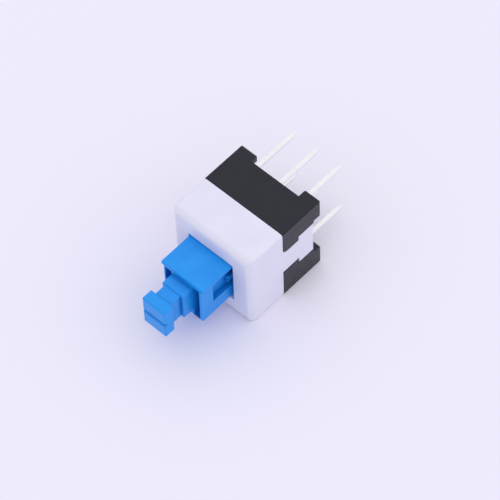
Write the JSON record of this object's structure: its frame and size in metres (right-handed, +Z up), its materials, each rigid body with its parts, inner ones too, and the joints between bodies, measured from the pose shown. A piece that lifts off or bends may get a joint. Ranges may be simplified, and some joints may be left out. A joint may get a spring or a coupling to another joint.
{
  "type": "latching push button switch",
  "caption": "Square latching push button switch for a circuit board: white housing, black base, blue plunger with a stem for a cap, and thin flat terminals.",
  "frame": {"origin": "middle of the terminal pattern, in the plane of the feet's ends, which seats on the circuit board", "axes": "+Y out of the back along the terminals, -Y out along the button, +X along a row of terminals, +Z up with the switch lying on one side"},
  "size_m": [0.0086, 0.0196, 0.0086],
  "materials": {
    "housing_plastic": "moulded white thermoplastic, satin",
    "base_plastic": "moulded black thermoplastic, satin",
    "button_plastic": "moulded blue acetal, semi-gloss",
    "spring_steel": "drawn stainless spring wire",
    "contact_metal": "silver-plated phosphor bronze strip",
    "terminal_metal": "silver-plated brass strip"
  },
  "bodies": {
    "body": {"housing": "housing_plastic", "base": "base_plastic", "terminal_upper_left": "terminal_metal", "terminal_upper_middle": "terminal_metal", "terminal_upper_right": "terminal_metal", "terminal_lower_left": "terminal_metal", "terminal_lower_middle": "terminal_metal", "terminal_lower_right": "terminal_metal", "return_spring": "spring_steel"},
    "slider": {"plunger": "button_plastic", "contact_upper": "contact_metal", "contact_lower": "contact_metal"},
    "latch": {"latch_pin": "spring_steel"}
  },
  "joints": [
    {"name": "plunger_press", "type": "slide", "parent": "body", "child": "slider", "axis": [0, 1, 0], "range_m": [0, 0.0025], "stiffness_N_per_m": 520, "deforming": ["return_spring"]},
    {"name": "latch_swing", "type": "hinge", "parent": "body", "child": "latch", "pos_m": [0.00235, -0.0026, 0.00087], "axis": [-1, 0, 0], "range_deg": [0, 7.05]}
  ],
  "couplings": [
    {"joint": "latch_swing", "follows": "plunger_press", "rad_per_m": 49.085}
  ]
}
